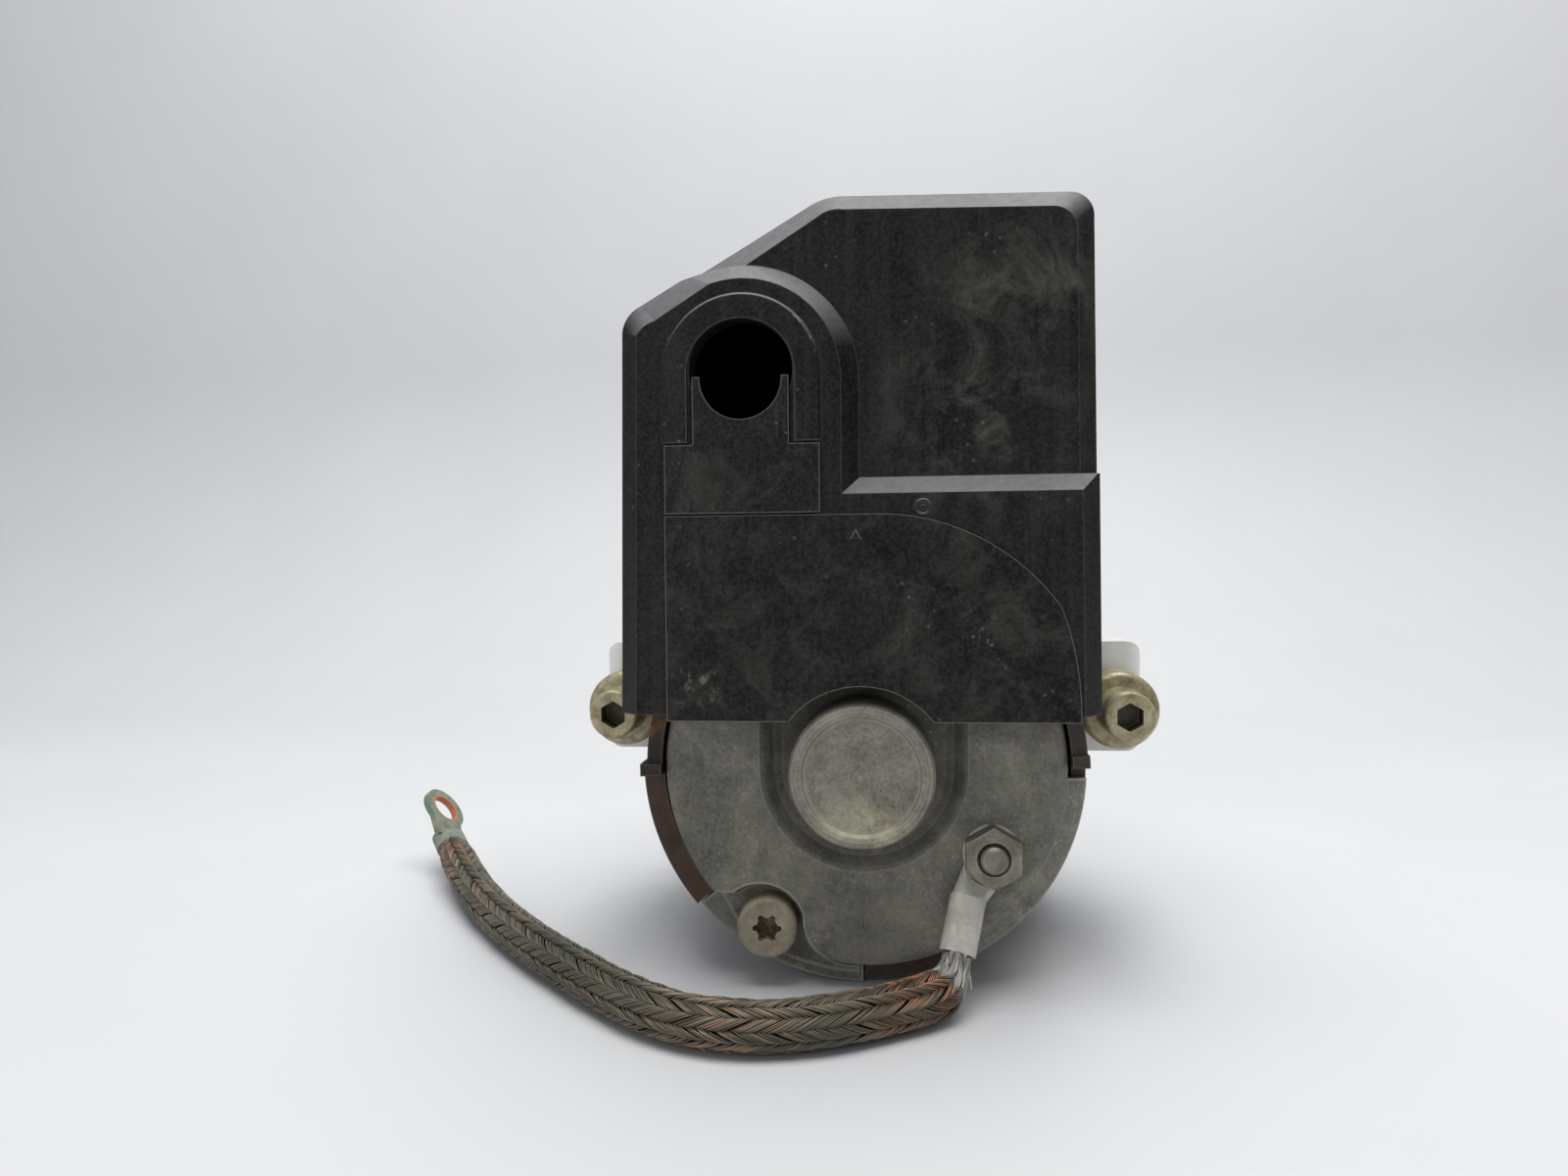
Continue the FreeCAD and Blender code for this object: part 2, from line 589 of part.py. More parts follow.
def side_lug(side):
    """Cast arm that reaches forward beside the motor and holds a mounting stud."""
    x0, x1 = (44.6, 57.5)
    low = box(BLOCK_HALF, x1, FACE + 32, FACE + 66, 40.0, BLOCK_SHOULDER)
    high = box(x0, x1, FACE + 32, FACE + 66, BLOCK_SHOULDER - 1, 63.0)
    lug = low.fuse(high).removeSplitter()
    edges = [e for e in lug.Edges if abs(e.BoundBox.XMax - x1) < 0.01 and abs(e.BoundBox.XMin - x1) < 0.01]
    lug = lug.makeFillet(3.5, edges).cut(cyl_y(STUD_X, STUD_Z, 4.0, FACE + 31, FACE + 50))
    return lug if side > 0 else lug.mirror(V(0, 0, 0), V(1, 0, 0))


def mount_stud(side):
    """Stud that a rubber bush sits on, with a hexagon socket in its end."""
    x = side * STUD_X
    pin = cyl_y(x, STUD_Z, STUD_PIN_R, FACE + 15, FACE + 25)
    pin = pin.makeFillet(0.8, [e for e in pin.Edges if abs(e.BoundBox.YMax - FACE - 15) < 0.01])
    collar = cyl_y(x, STUD_Z, STUD_COLLAR_R, FACE + 24, FACE + 32)
    collar = collar.makeFillet(1.4, [e for e in collar.Edges if abs(e.BoundBox.YMax - FACE - 24) < 0.01])
    shank = cyl_y(x, STUD_Z, 4.0, FACE + 31, FACE + 49.5)
    return pin.fuse(collar).fuse(shank).cut(hexagon_y(x, STUD_Z, 5.0, FACE + 14, FACE + 19.5))


def port_places():
    """Centres of the two inlets and three outlets on the rear face."""
    return [(-26.0, 34.0), (26.0, 34.0)] + [(x, 14.0) for x in (-30.0, 0.0, 30.0)]


def port(x, z, boss_r):
    """Brake line connector on the block's rear face, with a blind threaded hole."""
    boss = cyl_y(x, z, boss_r, BLOCK_BACK, PORT_FACE)
    boss = boss.makeFillet(0.8, [e for e in boss.Edges if e.BoundBox.YMin > PORT_FACE - 0.01])
    foot = cyl_y(x, z, boss_r + 1.4, BLOCK_BACK, BLOCK_BACK + 2.0)
    return foot.fuse(boss).cut(cyl_y(x, z, PORT_R, PORT_FACE - PORT_DEPTH, PORT_FACE + 1))


def pump_piston(side):
    x0, x1 = sorted((side * 10.9, side * 27.0))
    return cyl_x(PUMP_Y, AXIS_Z, PISTON_R, x0, x1)


def pump_plug(side):
    x0, x1 = sorted((side * 33.0, side * BLOCK_HALF))
    plug = cyl_x(PUMP_Y, AXIS_Z, 7.0, x0, x1)
    return plug.cut(cyl_x(PUMP_Y, AXIS_Z, 3.0, *sorted((side * 40.0, side * 44.0))))


def accumulator_cap(x):
    return cyl_z(x, ACCUMULATOR_Y, 9.05, 0.4, 4.0)


def accumulator_spring(x):
    spring = helix_spring(6.4, 0.7, 2.6, 9.4)
    spring.translate(V(x, ACCUMULATOR_Y, 4.1))
    return spring


def accumulator_piston(x):
    piston = cyl_z(x, ACCUMULATOR_Y, 9.1 - FIT, 13.8, 24.5)
    return piston.cut(tube_z(x, ACCUMULATOR_Y, 9.5, 8.2, 18.0, 19.8))


def valve_body(x):
    return tube_z(x, VALVE_Y, 6.95, 4.1, 56.05, 64.0).fuse(tube_z(x, VALVE_Y, 5.4, 4.1, 63.5, 84.0))


def valve_coil(x):
    coil = tube_z(x, VALVE_Y, COIL_R, 5.5, 64.1, 86.0)
    return coil.makeFillet(1.5, [e for e in coil.Edges if e.BoundBox.ZMin > 85.9 and e.BoundBox.XLength > 20])


def valve_plunger(x):
    return cyl_z(x, VALVE_Y, 4.1 - FIT, 66.0, 81.0)


# Electrical parts under the hood

def relay_carrier():
    """Saddle on the motor housing with a flat top for the relays."""
    saddle = box(-32, 32, FACE + 8, FACE + 44, 70.0, 90.0)
    saddle = saddle.cut(cyl_y(0, AXIS_Z, TUBE_R + 0.1, FACE, FACE + 60))
    saddle = saddle.fuse(box(-36, 36, FACE + 1, FACE + 46, 88.0, 90.6))
    return saddle.fuse(box(-8.0, 35.0, FACE + 3, FACE + 44, 90.0, 95.0))


def relay(index):
    x0 = -5.0 + 20.0 * index
    relay_box = box(x0, x0 + 18.5, FACE + 5, FACE + 36, 95.0, 126.0)
    return relay_box.makeFillet(1.2, [e for e in relay_box.Edges if e.BoundBox.ZMin > 95.5])


def harness_socket():
    """Connector for the cable that comes in through the gland."""
    x0, x1 = -34.0, -10.0
    body = box(x0, x1, FACE + 12, FACE + 44, 90.6, 104.0)
    return body.cut(box(x0 + 2, x1 - 2, FACE + 11, FACE + 38, 93.0, 102.0))


def build():
    os.makedirs("parts", exist_ok=True)
    save(hood(), "hood")
    save(front_panel(), "front_panel")
    save(cable_gate(), "cable_gate")
    save(end_shield(), "end_shield")
    save(pole_housing(), "pole_housing")
    save(motor_gasket(), "motor_gasket")
    save(clamp_arch(), "clamp_arch")
    save(bearing_cap(), "bearing_cap")
    save(bearing(FACE - 4.6, 7.3), "front_bearing")
    save(bearing(BLOCK_FRONT - 1.0, 7.0), "rear_bearing")
    save(motor_shaft(), "motor_shaft")
    save(eccentric_ring(), "eccentric_ring")
    save(armature_core(), "armature_core")
    save(armature_winding(), "armature_winding")
    save(commutator(), "commutator")
    save(brush_holder(), "brush_holder")
    save(motor_screw(SCREW_X, SCREW_Z), "motor_screw_1")
    save(motor_screw(-SCREW_X, 2 * AXIS_Z - SCREW_Z), "motor_screw_2")
    save(ground_stud(), "ground_stud")
    save(ground_nut(), "ground_nut")
    save(near_lug(), "near_lug")
    save(ground_strap(), "ground_strap")
    lug, centre, normal = far_lug()
    print("far eye", centre, normal)
    save(lug, "far_lug")
    save(valve_block(), "valve_block")
    for side, name in ((-1, "left"), (1, "right")):
        save(magnet(side), "magnet_" + name)
        save(brush(side), "brush_" + name)
        save(side_lug(side), "side_lug_" + name)
        save(mount_stud(side), "mount_stud_" + name)
        save(pump_piston(side), "pump_piston_" + name)
        save(pump_plug(side), "pump_plug_" + name)
        save(accumulator_cap(side * ACCUMULATOR_X), "accumulator_cap_" + name)
        save(accumulator_spring(side * ACCUMULATOR_X), "accumulator_spring_" + name)
        save(accumulator_piston(side * ACCUMULATOR_X), "accumulator_piston_" + name)
    for i, (x, z) in enumerate(port_places()):
        inlet = z > 20
        name = "inlet_%d" % (i + 1) if inlet else "outlet_%d" % (i - 1)
        save(port(x, z, 9.0 if inlet else 7.6), name)
    for i, x in enumerate(VALVE_XS):
        save(valve_body(x), "valve_body_%d" % (i + 1))
        save(valve_coil(x), "valve_coil_%d" % (i + 1))
        save(valve_plunger(x), "valve_plunger_%d" % (i + 1))
    save(relay_carrier(), "relay_carrier")
    save(relay(0), "relay_1")
    save(relay(1), "relay_2")
    save(harness_socket(), "harness_socket")


build()
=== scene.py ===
"""Looks of an anti-lock brake hydraulic unit: materials, ground strap braid and small surface details."""

import json
import math

import bmesh
import bpy
import numpy as np
from mathutils import Matrix, Vector


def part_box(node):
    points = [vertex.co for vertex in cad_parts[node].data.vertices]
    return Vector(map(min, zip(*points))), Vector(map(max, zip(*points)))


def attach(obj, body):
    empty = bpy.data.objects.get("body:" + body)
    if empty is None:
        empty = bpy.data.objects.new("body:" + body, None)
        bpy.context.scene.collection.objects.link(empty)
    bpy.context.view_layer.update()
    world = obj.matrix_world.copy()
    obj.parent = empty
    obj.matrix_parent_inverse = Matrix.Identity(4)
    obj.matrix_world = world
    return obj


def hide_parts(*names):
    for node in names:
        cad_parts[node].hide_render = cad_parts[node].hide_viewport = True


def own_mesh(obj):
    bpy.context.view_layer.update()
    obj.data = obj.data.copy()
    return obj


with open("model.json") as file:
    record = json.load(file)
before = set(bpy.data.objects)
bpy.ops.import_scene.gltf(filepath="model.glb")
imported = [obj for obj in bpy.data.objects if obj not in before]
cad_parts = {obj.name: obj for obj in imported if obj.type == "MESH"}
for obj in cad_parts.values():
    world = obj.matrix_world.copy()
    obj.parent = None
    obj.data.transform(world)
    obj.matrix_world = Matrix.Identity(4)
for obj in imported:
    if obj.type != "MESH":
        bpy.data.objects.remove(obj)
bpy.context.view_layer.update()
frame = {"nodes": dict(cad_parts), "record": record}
rng = np.random.default_rng(7)

MM = 0.001                       # one millimetre in metres
FACE = -43.5                     # plane of the motor's end shield along Y, mm
HOOD_FACE = -9.0                 # front plane of the hood, from FACE, mm
PANEL_FACE = HOOD_FACE - 0.45    # front plane of the panel let into it, mm
SHAFT_Z = 42.0                   # height of the motor's axis, mm

# Ground strap: control points (x, y from FACE, z) in mm.
STRAP_ROUTE = [
    (16.8, -6.6, 10.2), (16.1, -8.0, 7.5), (14.6, -10.0, 5.5), (11.8, -12.5, 4.4), (6.8, -15.9, 4.2),
    (-0.8, -20.9, 4.3), (-9.2, -24.6, 4.2), (-18.4, -26.3, 4.3), (-27.4, -24.9, 4.2), (-36.0, -20.6, 4.3),
    (-44.9, -13.2, 4.2), (-55.0, -3.6, 4.3), (-67.4, 9.2, 4.2), (-81.4, 25.8, 4.4), (-94.4, 43.6, 5.2),
    (-107.2, 64.4, 7.6)]

CAMERA_PLACE = (0.00702, -0.24290, 0.08105)
CAMERA_YAW = math.radians(6.123)     # turned left of straight ahead
CAMERA_PITCH = math.radians(1.56)    # downwards
CAMERA_ROLL = math.radians(0.6)
CAMERA_LENS = 24.75                  # mm, on a sensor 36 mm wide
LIGHT_TARGET = (0, 0, 0.05)


def point(x, y, z):
    """Design millimetres, Y measured from the shield's face, to metres."""
    return Vector((x * MM, (FACE + y) * MM, z * MM))


def rgb(r, g, b):
    """Display colour, 0 to 255, as linear RGBA."""
    linear = [((c / 255 + 0.055) / 1.055) ** 2.4 if c > 10 else c / 255 / 12.92 for c in (r, g, b)]
    return (*linear, 1.0)


# ---------------------------------------------------------------- camera, light, floor

def link(item):
    """Put a new object in the scene and hand it back."""
    bpy.context.scene.collection.objects.link(item)
    return item


def make_camera():
    level = math.cos(CAMERA_PITCH)
    forward = Vector((-math.sin(CAMERA_YAW) * level, math.cos(CAMERA_YAW) * level, -math.sin(CAMERA_PITCH)))
    right = forward.cross(Vector((0, 0, 1))).normalized()
    up = right.cross(forward)
    c, s = math.cos(CAMERA_ROLL), math.sin(CAMERA_ROLL)
    right, up = c * right - s * up, s * right + c * up
    camera = link(bpy.data.objects.new("camera", bpy.data.cameras.new("camera")))
    turn = Matrix((right, up, -forward)).transposed().to_4x4()
    camera.matrix_world = Matrix.Translation(CAMERA_PLACE) @ turn
    camera.data.lens = CAMERA_LENS
    camera.data.sensor_width = 36
    camera.data.clip_start, camera.data.clip_end = 0.005, 20
    bpy.context.scene.camera = camera


def area_light(name, place, size, power, tint):
    """Rectangular lamp that looks at LIGHT_TARGET; metres and watts."""
    data = bpy.data.lights.new(name, "AREA")
    data.shape = "RECTANGLE"
    data.size, data.size_y = size
    data.energy = power
    data.color = tint
    light = link(bpy.data.objects.new(name, data))
    light.location = place
    light.rotation_mode = "QUATERNION"
    light.rotation_quaternion = (Vector(LIGHT_TARGET) - Vector(place)).to_track_quat("-Z", "Y")


def make_lights():
    """Broad lamp overhead, a weak one in front at the left, and a dim pale world."""
    area_light("overhead", place=(0.05, -0.10, 1.1), size=(1.0, 0.9), power=15.0, tint=(1.0, 0.99, 0.97))
    area_light("front_fill", place=(-0.6, -1.2, 0.55), size=(0.9, 0.6), power=2.2, tint=(0.98, 0.99, 1.0))
    world = bpy.data.worlds.new("studio")
    world.use_nodes = True
    background = world.node_tree.nodes["Background"]
    background.inputs["Color"].default_value = (0.93, 0.95, 1.0, 1)
    background.inputs["Strength"].default_value = 0.26
    bpy.context.scene.world = world
    bpy.context.scene.view_settings.view_transform = "Standard"


def make_floor():
    """Pale studio sweep: flat floor that curves up into a backdrop."""
    front, back, bend, wall, half = -2.0, 0.28, 0.22, 1.6, 1.6
    below = 0.0002               # keeps the floor just clear of the faces that stand on it
    profile = [(front, 0.0), (back, 0.0)]
    profile += [(back + bend * math.sin(a), bend * (1 - math.cos(a)))
                for a in np.linspace(0.06, math.pi / 2, 16)]
    profile += [(back + bend, wall)]
    mesh = bpy.data.meshes.new("studio_floor")
    points = [(side * half, y, z - below) for y, z in profile for side in (-1, 1)]
    strips = range(len(profile) - 1)
    mesh.from_pydata(points, [], [(2 * i, 2 * i + 1, 2 * i + 3, 2 * i + 2) for i in strips])
    mesh.polygons.foreach_set("use_smooth", [True] * len(mesh.polygons))
    floor = link(bpy.data.objects.new("studio_floor", mesh))
    paint = Paint("floor_paper", roughness=0.6)
    shade = paint.noise(9, detail=2)
    paint.base(paint.mix(shade, rgb(203, 205, 208), rgb(212, 213, 215)))
    floor.data.materials.append(paint.material)


# ---------------------------------------------------------------- procedural materials

class Paint:
    """A principled material whose textures run in the row frame's metres."""

    def __init__(self, name, roughness=0.5, metallic=0.0, specular=0.5):
        self.material = bpy.data.materials.new(name)
        self.material.use_nodes = True
        self.tree = self.material.node_tree
        self.shader = self.tree.nodes["Principled BSDF"]
        self.shader.inputs["Roughness"].default_value = roughness
        self.shader.inputs["Metallic"].default_value = metallic
        self.shader.inputs["Specular IOR Level"].default_value = specular
        self.place = self.add("ShaderNodeTexCoord").outputs["Object"]
        self.facing = self.add("ShaderNodeNewGeometry").outputs["Normal"]

    def add(self, kind, inputs=(), **settings):
        node = self.tree.nodes.new(kind)
        for name, value in settings.items():
            setattr(node, name, value)
        for key, value in dict(inputs).items():
            if isinstance(value, bpy.types.NodeSocket):
                self.tree.links.new(value, node.inputs[key])
            else:
                node.inputs[key].default_value = value
        return node

    def noise(self, scale, detail=4, rough=0.6, stretch=(1, 1, 1), shift=0.0, warp=0.0):
        """Noise value, scale in cycles per metre."""
        moved = self.add("ShaderNodeMapping", {"Vector": self.place, "Scale": stretch,
                                               "Location": (shift, shift * 0.7, shift * 1.3)})
        return self.add("ShaderNodeTexNoise", {"Vector": moved.outputs[0], "Scale": scale, "Detail": detail,
                                               "Roughness": rough, "Distortion": warp}).outputs["Fac"]

    def speckle(self, scale, size):
        """Small round grains: 1 inside a grain, 0 outside."""
        cells = self.add("ShaderNodeTexVoronoi", {"Vector": self.place, "Scale": scale})
        return self.ramp(cells.outputs["Distance"], size, size * 0.5)

    def ramp(self, value, bloom_and_reflection, high, out_low=0.0, out_high=1.0):
        return self.add("ShaderNodeMapRange", {"Value": value, "From Min": bloom_and_reflection, "From Max": high,
                                               "To Min": out_low, "To Max": out_high}).outputs[0]

    def calc(self, operation, a, b=0.0):
        return self.add("ShaderNodeMath", {0: a, 1: b}, operation=operation).outputs[0]

    def times(self, *values):
        result = values[0]
        for value in values[1:]:
            result = self.calc("MULTIPLY", result, value)
        return result

    def mix(self, factor, first, second):
        return self.add("ShaderNodeMixRGB", {"Fac": factor, "Color1": first, "Color2": second}).outputs[0]

    def normal_along(self, axis):
        return self.add("ShaderNodeSeparateXYZ", {0: self.facing}).outputs[axis]

    def upward(self, bloom_and_reflection=0.2, high=0.9):
        """1 on surfaces that face up."""
        return self.ramp(self.normal_along(2), bloom_and_reflection, high)

    def forward(self, bloom_and_reflection=0.3, high=0.9):
        """1 on surfaces that face the front."""
        return self.ramp(self.calc("MULTIPLY", self.normal_along(1), -1.0), bloom_and_reflection, high)

    def blob(self, centre, radii):
        """1 at a centre given in mm, falling to 0 at the ellipsoid's edge."""
        offset = self.add("ShaderNodeVectorMath", {0: self.place, 1: point(*centre)}, operation="SUBTRACT")
        scaled = self.add("ShaderNodeVectorMath", {0: offset.outputs[0], 1: [1 / (r * MM) for r in radii]},
                          operation="MULTIPLY")
        length = self.add("ShaderNodeVectorMath", {0: scaled.outputs[0]}, operation="LENGTH")
        return self.ramp(length.outputs["Value"], 1.0, 0.2)

    def edges(self, radius):
        """1 on edges that stand out, from the normal of a rounded copy."""
        rounded = self.add("ShaderNodeBevel", {"Radius": radius * MM}, samples=6).outputs[0]
        cosine = self.add("ShaderNodeVectorMath", {0: rounded, 1: self.facing}, operation="DOT_PRODUCT")
        return self.ramp(cosine.outputs["Value"], 0.995, 0.86)

    def base(self, colour):
        self.tree.links.new(colour, self.shader.inputs["Base Color"])

    def shine(self, roughness):
        self.tree.links.new(roughness, self.shader.inputs["Roughness"])

    def relief(self, *layers):
        """Each layer is (height value, depth in mm)."""
        normal = None
        for height, depth in layers:
            inputs = {"Height": height, "Distance": depth * MM, "Strength": 1.0}
            if normal is not None:
                inputs["Normal"] = normal
            normal = self.add("ShaderNodeBump", inputs).outputs[0]
        self.tree.links.new(normal, self.shader.inputs["Normal"])


def moulded(paint, dark, light, cloud_scale):
    """Black moulded plastic with fine grain, clouds of film, specks, and settled dust mixed with a painted
    sheen on what faces up.
    """
    grain = paint.noise(1500, detail=3, rough=0.7)
    cloud = paint.ramp(paint.noise(cloud_scale, detail=7, rough=0.68), 0.38, 0.74)
    tone = paint.calc("ADD", paint.times(paint.ramp(grain, 0.41, 0.59), 0.62), paint.times(cloud, 0.38))
    colour = paint.mix(tone, rgb(*dark), rgb(*light))
    specks = paint.times(paint.speckle(460, 0.17), paint.ramp(paint.noise(85, detail=4), 0.5, 0.68))
    colour = paint.mix(paint.times(specks, 0.5), colour, rgb(128, 125, 118))
    film = paint.ramp(paint.noise(700, detail=5, rough=0.7), 0.25, 0.75, 0.62, 1.0)
    # settled dust and painted highlight: pale grey on faces tilted up, strongest on bevels, also standing
    # in for light caught from above
    dust_and_sheen = paint.times(paint.upward(0.2, 0.55), film)
    swept = paint.noise(28, detail=8, rough=0.7, warp=0.6, shift=8.0)
    bare = paint.times(paint.upward(0.85, 0.97), paint.ramp(swept, 0.35, 0.65, 0.35, 0.8))
    dust_and_sheen = paint.times(dust_and_sheen, paint.calc("SUBTRACT", 1.0, bare))
    colour = paint.mix(dust_and_sheen, colour, rgb(123, 124, 126))
    paint.relief((grain, 0.014))
    return colour, cloud


def hood_plastic():
    """Hood: vertical streaks, smudged dust at its upper right and wear at its left."""
    paint = Paint("hood_plastic", roughness=0.5, specular=0.2)
    colour, cloud = moulded(paint, (0, 0, 1), (42, 41, 38), 45)
    streaks = paint.ramp(paint.noise(420, detail=5, stretch=(1, 1, 0.03)), 0.42, 0.75)
    colour = paint.mix(paint.times(streaks, paint.forward(), 0.16), colour, rgb(84, 84, 84))
    smudge = paint.calc("MAXIMUM", paint.blob((22, HOOD_FACE, 106), (22, 40, 26)),
                        paint.blob((30, HOOD_FACE, 128), (26, 40, 15)))
    broad = paint.ramp(paint.noise(75, detail=9, rough=0.72, warp=1.1), 0.46, 0.72)
    fine = paint.ramp(paint.noise(260, detail=8, rough=0.8, warp=0.9, shift=3.0), 0.44, 0.7)
    veil = paint.times(smudge, paint.calc("ADD", paint.times(broad, 0.55), paint.times(broad, fine, 0.6)))
    colour = paint.mix(paint.times(veil, 0.8), colour, rgb(112, 109, 102))
    worn = paint.times(paint.blob((-28, HOOD_FACE, 80), (16, 40, 44)),
                       paint.ramp(paint.noise(150, detail=8, rough=0.78), 0.5, 0.8))
    colour = paint.mix(paint.times(worn, 0.3), colour, rgb(96, 93, 87))
    colour = paint.mix(paint.times(paint.edges(0.6), 0.45), colour, rgb(104, 103, 100))
    paint.base(colour)
    paint.shine(paint.ramp(cloud, 0, 1, 0.44, 0.58))
    return paint.material


def panel_plastic():
    """Front panel and cable gate: dusty, with two scuffed spots and pale edges."""
    paint = Paint("panel_plastic", roughness=0.5, specular=0.2)
    colour, cloud = moulded(paint, (0, 0, 1), (46, 45, 42), 75)
    veil = paint.ramp(paint.noise(95, detail=9, rough=0.74, warp=0.9, shift=6.0), 0.48, 0.78)
    colour = paint.mix(paint.times(veil, 0.4), colour, rgb(98, 96, 90))
    scuff = paint.calc("MAXIMUM", paint.blob((-29, HOOD_FACE, 59), (6, 12, 6)),
                       paint.blob((21, HOOD_FACE, 68), (6, 12, 4)))
    rubbed = paint.noise(420, detail=7, rough=0.8, stretch=(1, 1, 0.6), warp=0.8)
    scuff = paint.times(scuff, paint.ramp(rubbed, 0.54, 0.66))
    colour = paint.mix(paint.times(scuff, 0.7), colour, rgb(150, 145, 134))
    colour = paint.mix(paint.times(paint.edges(0.35), 0.8), colour, rgb(136, 134, 129))
    paint.base(colour)
    paint.shine(paint.ramp(cloud, 0, 1, 0.42, 0.58))
    return paint.material


def shield_metal():
    """Grey cast end shield: mottled, with brown patches, painted shade in the hollow round the cap and pale
    edges.
    """
    paint = Paint("shield_metal", roughness=0.62, metallic=0.1, specular=0.35)
    cast = paint.noise(1500, detail=5, rough=0.75)
    cloud = paint.ramp(paint.noise(60, detail=7, rough=0.68, warp=0.4), 0.34, 0.7)
    tone = paint.calc("ADD", paint.times(cloud, 0.6), paint.times(paint.ramp(cast, 0.3, 0.7), 0.4))
    colour = paint.mix(tone, rgb(68, 67, 60), rgb(154, 151, 140))
    pale = paint.ramp(paint.noise(240, detail=8, rough=0.8), 0.5, 0.72)
    colour = paint.mix(paint.times(pale, 0.5), colour, rgb(172, 168, 156))
    brown = paint.ramp(paint.noise(110, detail=5, shift=3.0), 0.58, 0.72)
    colour = paint.mix(paint.times(brown, 0.45), colour, rgb(84, 70, 52))
    # painted shade: darkens the shield's face in the recess round the bearing cap
    painted_hollow_shade = paint.times(paint.blob((0, 2, SHAFT_Z + 3), (25, 3.6, 27)), 0.7)
    colour = paint.mix(painted_hollow_shade, colour, rgb(44, 43, 38))
    specks = paint.times(paint.speckle(650, 0.2), paint.ramp(paint.noise(120, detail=3), 0.45, 0.65))
    colour = paint.mix(paint.times(specks, 0.7), colour, rgb(172, 170, 160))
    colour = paint.mix(paint.times(paint.edges(1.1), 0.75), colour, rgb(178, 175, 163))
    paint.base(colour)
    paint.shine(paint.ramp(cloud, 0, 1, 0.55, 0.72))
    paint.relief((cast, 0.03), (pale, 0.01))
    return paint.material


def cap_steel():
    """Bearing cap: mottled, with a brown stain and a pale patch low on its face, partly bloom and partly a
    painted reflection of the floor.
    """
    paint = Paint("cap_steel", roughness=0.5, metallic=0.25, specular=0.4)
    cloud = paint.ramp(paint.noise(120, detail=8, rough=0.7), 0.4, 0.64)
    fine = paint.ramp(paint.noise(1500, detail=4, rough=0.75), 0.38, 0.62)
    tone = paint.calc("ADD", paint.times(cloud, 0.6), paint.times(fine, 0.4))
    colour = paint.mix(tone, rgb(86, 84, 74), rgb(152, 148, 135))
    # partly painted reflection: pale patch on the cap's lower half where the floor would show in it,
    # mottled like bloom
    bloom_and_reflection = paint.times(paint.blob((0, -22, SHAFT_Z - 9), (12, 30, 8)),
                      paint.ramp(paint.noise(260, detail=8, rough=0.75), 0.4, 0.62))
    colour = paint.mix(paint.times(bloom_and_reflection, 0.85), colour, rgb(206, 202, 166))
    stain = paint.times(paint.blob((4, -22, SHAFT_Z - 9), (4.5, 30, 3)),
                        paint.ramp(paint.noise(700, detail=3), 0.45, 0.6))
    colour = paint.mix(paint.times(stain, 0.85), colour, rgb(110, 88, 40))
    colour = paint.mix(paint.times(paint.edges(1.4), 0.7), colour, rgb(188, 184, 170))
    paint.base(colour)
    paint.shine(paint.ramp(cloud, 0, 1, 0.42, 0.6))
    paint.relief((paint.noise(1400, detail=5, rough=0.7), 0.02))
    return paint.material


def rusty(name, steel, dark, rust, amount, roughness=0.6, metallic=0.5):
    """Steel under oxide, with rust in patches; amount runs from 0 to 1."""
    paint = Paint(name, roughness=roughness, metallic=metallic)
    cloud = paint.ramp(paint.noise(90, detail=7, rough=0.68), 0.36, 0.7)
    colour = paint.mix(cloud, rgb(*dark), rgb(*steel))
    patch = paint.ramp(paint.noise(150, detail=8, rough=0.75, shift=5.0, warp=0.5),
                       0.72 - 0.4 * amount, 0.86 - 0.4 * amount)
    colour = paint.mix(patch, colour, rgb(*rust))
    colour = paint.mix(paint.times(paint.edges(0.5), 0.35), colour, rgb(150, 140, 128))
    paint.base(colour)
    paint.relief((paint.noise(1700, detail=6, rough=0.75), 0.025), (patch, 0.02))
    return paint.material


def plated(name, bright, dull, stain, roughness=0.45, metallic=0.75, stained=0.5, socket=None):
    """Zinc or tin plating that has dulled and stained; socket is the middle of a rusty tool socket."""
    paint = Paint(name, roughness=roughness, metallic=metallic)
    cloud = paint.ramp(paint.noise(260, detail=8, rough=0.7), 0.35, 0.68)
    colour = paint.mix(cloud, rgb(*dull), rgb(*bright))
    patch = paint.ramp(paint.noise(330, detail=6, rough=0.75, shift=2.0), 0.5, 0.68)
    colour = paint.mix(paint.times(patch, stained), colour, rgb(*stain))
    worn = rgb(*[min(255, c + 45) for c in bright])
    colour = paint.mix(paint.times(paint.edges(0.35), 0.5), colour, worn)
    if socket:
        rust = paint.times(paint.ramp(paint.blob(socket, (3.0, 3.0, 3.0)), 0.02, 0.3),
                           paint.ramp(paint.noise(600, detail=4), 0.3, 0.6))
        colour = paint.mix(paint.times(rust, 0.85), colour, rgb(98, 66, 32))
    paint.base(colour)
    paint.shine(paint.ramp(cloud, 0, 1, roughness + 0.12, roughness))
    paint.relief((paint.noise(1800, detail=5, rough=0.7), 0.015))
    return paint.material


def bolt_yellow():
    """Yellow-chromated studs with brown dirt down in their sockets."""
    paint = Paint("stud_zinc", roughness=0.42, metallic=0.35)
    cloud = paint.ramp(paint.noise(220, detail=7, rough=0.7), 0.35, 0.7)
    colour = paint.mix(cloud, rgb(154, 145, 112), rgb(206, 199, 165))
    patch = paint.ramp(paint.noise(300, detail=6, rough=0.75, shift=4.0), 0.48, 0.64)
    colour = paint.mix(paint.times(patch, 0.65), colour, rgb(98, 84, 58))
    for side in (-1, 1):
        socket = paint.blob((side * 51.4, 18.6, 49.5), (3.7, 4.4, 3.7))
        colour = paint.mix(paint.times(paint.ramp(socket, 0.02, 0.2), 0.85), colour, rgb(52, 38, 28))
    colour = paint.mix(paint.times(paint.edges(0.5), 0.45), colour, rgb(212, 207, 180))
    paint.base(colour)
    paint.relief((paint.noise(1500, detail=5, rough=0.7), 0.02))
    return paint.material


